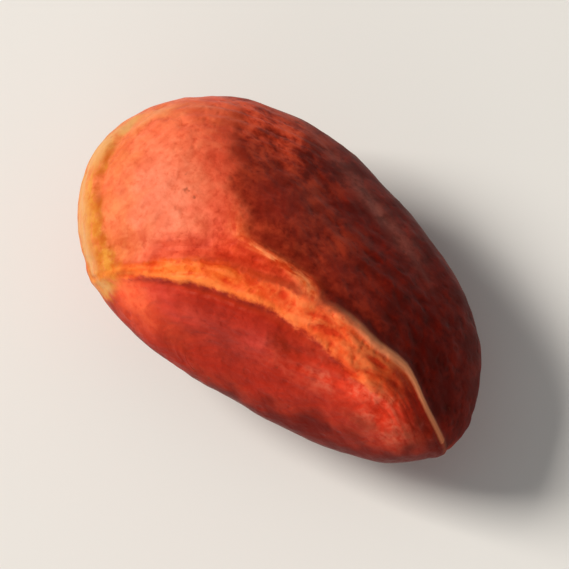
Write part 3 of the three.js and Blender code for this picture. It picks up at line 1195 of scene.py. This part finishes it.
        # The dark lobe: maroon skin that is partly painted shade, with painted sheen, painted deep
        # shade, a red flush and a painted edge highlight.
        dusk = lay(
            self.dusk,
            # Painted sheen on the dark lobe.
            (self.violet, zone[Zone.VIOLET] * 0.55),
            (self.dusk_deep, deep_shade),
            (self.flush, zone[Zone.FLUSH] * mottle.rise(0.35, 0.60)),
            # Painted highlight along the right shoulder's edge, stronger on raised parts.
            (self.edge_highlight_tone, zone[Zone.WORN] * (raised * 0.5 + 0.3)),
        )
        dusky = zone[Zone.DUSK] + (mottle - 0.5) * 0.8 * zone[Zone.DUSK].rise(0.0, 0.3)

        squeeze = self.strand_squeeze
        strands = graph.join(graph.attribute("to_fold") * MM, x * squeeze, z * squeeze)
        strands = graph.noise(strands, self.strand_size, 2.0)
        fold = lay(
            self.fold,
            (self.fold.raised, strands.rise(0.50, 0.66)),
            (self.fold.sunk, strands.rise(0.47, 0.36) * 0.9),
        )

        # Painted shade low on the left flank, with mottled edges.
        shade_below = (zone[Zone.UNDER] + (mottle - 0.5) * 0.5 * zone[Zone.UNDER].rise(0.0, 0.3)).clamp()
        freckles = zone[Zone.FRECKLES] * (network + grain.rise(0.52, 0.36)).clamp()
        left = lay(
            self.hollow,
            # Painted sheen on the left hollow.
            (self.violet, zone[Zone.VIOLET]),
            (self.blush, zone[Zone.BLUSH]),
            (self.rose, zone[Zone.ROSE] * 0.9),
            (self.streaks, streaks),
            # Painted shade low on the left flank.
            (lay(self.dusk, (self.dusk_deep.body, shade_below)), shade_below),
            (self.freckle_brown, freckles * 0.85),
        )

        girth = graph.join(x * squeeze, y * squeeze, z)
        girth = graph.noise(girth, self.strand_size, 3.0, 0.6)
        ring = (zone[Zone.RIM] + (mottle - 0.5) * 0.7 + (girth - 0.5) * 0.7).rise(0.02, 0.92)
        rim = lay(
            self.gilt,
            (self.rim, girth.rise(0.34, 0.54)),
            # Painted highlight over the gold welt.
            (self.rim_highlight, zone[Zone.RIM_EDGE] * girth.rise(0.30, 0.56) * 0.8),
        )
        lip = lay(
            self.lip,
            (self.gold, zone[Zone.GOLD]),
            (self.rim, zone[Zone.GILT] * 0.7),
            (self.bead_pale, bead * zone[Zone.BEAD] * 0.6),
            (self.brown, zone[Zone.BROWN] * 0.9),
        )
        colour = lay(
            self.brick,
            (self.dusk, blotch.rise(0.42, 0.60)),
            (self.cap, cap),
            # Painted highlight on the cap.
            (self.cap_pale, zone[Zone.CAP_PALE] * cap),
            (self.cap_edge, zone[Zone.CAP_EDGE] * cap),
            # Painted shade in the trough above the lip.
            (self.cap_red, zone[Zone.CAP_RED] * cap),
            (dusk, dusky.rise(0.06, 0.94)),
            (fold, zone[Zone.FOLD]),
            (left, zone[Zone.LEFT]),
            (self.gilt, zone[Zone.GILT] * cap * 0.7),
            (rim, ring * zone[Zone.RIM].rise(0.0, 0.8)),
            # Painted highlight at the broad end's left.
            (self.rim_highlight, zone[Zone.RIM_EDGE] * cap * 0.4),
            (self.rim_amber, zone[Zone.RIM_GROOVE] * mottle.rise(0.66, 0.36) * 0.95),
            (lip, on_lip * zone[Zone.LIP]),
            (self.seam_dark, seam * zone[Zone.SEAM] * 0.8),
            # Painted highlight along the crest.
            (self.ridge_pale, ridge * zone[Zone.RIDGE] * 0.92),
            # Painted shade in the crease, weaker under the lip's gold left part.
            (self.crease_dark, groove * zone[Zone.CREASE] * (0.42 - zone[Zone.GOLD] * 0.17)),
            (self.scuff_brown, scuff.rise(0.98, 1.10) * 0.5),
        )

        height = grain * 0.35 + vein * smooth * 0.45 + mottle * 0.36 - pores * 0.25
        height = height - (network + fibre * smooth) * 0.28
        height = height * (1 - zone[Zone.DUSK] * 0.45 - zone[Zone.HOLLOW] * 0.2)
        roughness = self.roughness + (grain - 0.5) * 0.25 + sunk * 0.12 + zone[Zone.DUSK] * 0.08
        graph.surface(
            {
                "Base Color": colour,
                "Roughness": roughness.clamp(),
                "Normal": graph.bump(height, self.bump_depth, self.bump_strength),
                "Specular IOR Level": self.shine,
                "Specular Tint": self.shine_tint,
                "Sheen Weight": self.sheen,
                "Sheen Roughness": self.sheen_roughness,
                "Sheen Tint": self.sheen_tint,
            }
        )
        nut.data.materials.append(material)
        LOG.info("finish: nut skin")


@dataclass(frozen=True)
class FloorFinish:
    """Plain matt pale floor. Linear colour."""

    tone: Colour = (0.80, 0.79, 0.77)
    roughness: float = 0.85
    shine: float = 0.1

    def dress(self, floor: bpy.types.Object) -> None:
        """Make the material and give it to the floor.

        Args:
            floor: the floor's object.
        """
        material = bpy.data.materials.new("floor_matt")
        graph = Graph(material)
        look = {"Base Color": self.tone, "Roughness": self.roughness, "Specular IOR Level": self.shine}
        graph.surface(look)
        floor.data.materials.append(material)


# ---- Stage, light and camera ----


@dataclass(frozen=True)
class View:
    """Axes of the picture for a camera at an azimuth and elevation, degrees."""

    azimuth: float = 42.6
    elevation: float = 66.0

    def right(self) -> Vector:
        """Direction to the picture's right."""
        turn = math.radians(self.azimuth)
        return Vector((math.cos(turn), math.sin(turn), 0))

    def toward(self) -> Vector:
        """Direction from the object to the camera.

        Returns:
            The unit direction.
        """
        turn = math.radians(self.azimuth)
        rise = math.radians(self.elevation)
        level = math.cos(rise)
        return Vector((level * math.sin(turn), -level * math.cos(turn), math.sin(rise)))

    def up(self) -> Vector:
        """Direction to the picture's top."""
        return self.toward().cross(self.right())

    def blend(self, right: float, up: float, toward: float) -> Vector:
        """Unit direction from its shares along the picture's axes."""
        mixed = self.right() * right + self.up() * up + self.toward() * toward
        return mixed.normalized()


@dataclass(frozen=True)
class SoftLight:
    """Square soft light: its direction, distance and side in metres, power in watts, tint."""

    name: str
    direction: tuple[float, float, float]
    distance: float
    side: float
    power: float
    tint: Colour

    def build(self, view: View, centre: Vector) -> None:
        """Hang the light and aim it at the nut.

        Args:
            view: the picture's axes.
            centre: the point it is aimed at.
        """
        lamp = bpy.data.lights.new(self.name, "AREA")
        lamp.shape = "SQUARE"
        lamp.size = self.side
        lamp.energy = self.power
        lamp.color = self.tint
        holder = bpy.data.objects.new(self.name, lamp)
        away = view.blend(*self.direction)
        holder.location = centre + away * self.distance
        holder.rotation_euler = away.to_track_quat("Z", "Y").to_euler()
        bpy.context.scene.collection.objects.link(holder)
        LOG.info("light: %s", self.name)


@dataclass(frozen=True)
class Studio:
    """Floor, soft lights and camera."""

    view: View = View()
    floor_side: float = 3.0
    lens: float = 250.0
    sensor: float = 36.0
    clip_start: float = 0.005
    picture_width: float = 0.0505
    aim_offset: tuple[float, float] = (-0.0003, -0.0007)
    sky: Colour = (1.0, 0.99, 0.97)
    sky_strength: float = 0.24
    lights: Sequence[SoftLight] = (
        SoftLight("key", (-0.76, 0.42, 0.50), 1.4, 0.56, 24.0, (1.0, 0.95, 0.88)),
        SoftLight("fill", (-0.3, -0.75, 0.55), 1.2, 1.0, 3.2, (1.0, 0.97, 0.95)),
    )

    def lay_floor(self) -> None:
        """Lay a level square floor at the height that the nut rests on."""
        half = self.floor_side / 2
        corners = [(-half, -half, 0), (half, -half, 0), (half, half, 0), (-half, half, 0)]
        mesh = bpy.data.meshes.new("floor")
        mesh.from_pydata(corners, [], [(0, 1, 2, 3)])
        floor = bpy.data.objects.new("floor", mesh)
        bpy.context.scene.collection.objects.link(floor)
        FloorFinish().dress(floor)
        LOG.info("floor: laid")

    def hang_lights(self, centre: Vector) -> None:
        """Hang the lights and set the even light from all round.

        Args:
            centre: the point they are aimed at.
        """
        for light in self.lights:
            light.build(self.view, centre)
        world = bpy.data.worlds.new("studio")
        bpy.context.scene.world = world
        world.use_nodes = True
        background = world.node_tree.nodes["Background"]
        background.inputs["Color"].default_value = (*self.sky, 1.0)
        background.inputs["Strength"].default_value = self.sky_strength

    def place_camera(self, centre: Vector) -> None:
        """Set the camera so that the picture is as wide as asked at the nut's middle.

        Args:
            centre: the nut's middle.
        """
        camera = bpy.data.cameras.new("camera")
        camera.lens = self.lens
        camera.sensor_width = self.sensor
        camera.clip_start = self.clip_start
        holder = bpy.data.objects.new("camera", camera)
        distance = self.picture_width * self.lens / self.sensor
        right, up = self.aim_offset
        aim = centre + self.view.right() * right + self.view.up() * up
        holder.location = aim + self.view.toward() * distance
        holder.rotation_euler = self.view.toward().to_track_quat("Z", "Y").to_euler()
        bpy.context.scene.collection.objects.link(holder)
        bpy.context.scene.camera = holder
        LOG.info("camera: %.3f m away", distance)

    def build(self, box: Sequence[Sequence[float]]) -> None:
        """Build the whole studio round the object's box.

        Args:
            box: lowest and highest corner of the object, metres.
        """
        centre = (Vector(box[0]) + Vector(box[1])) / 2
        self.lay_floor()
        self.hang_lights(centre)
        self.place_camera(centre)
        bpy.context.scene.view_settings.view_transform = "Standard"


def main() -> None:
    """Build the nut, dress it, and set it in the studio."""
    logging.basicConfig(level=logging.INFO, format="%(name)s: %(message)s")
    nut = KolaNut().build()
    NutSkinFinish().dress(nut)
    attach(nut, BODY)
    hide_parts(NODE)
    Studio().build(CAD_BOX)


if __name__ == "__main__":
    main()
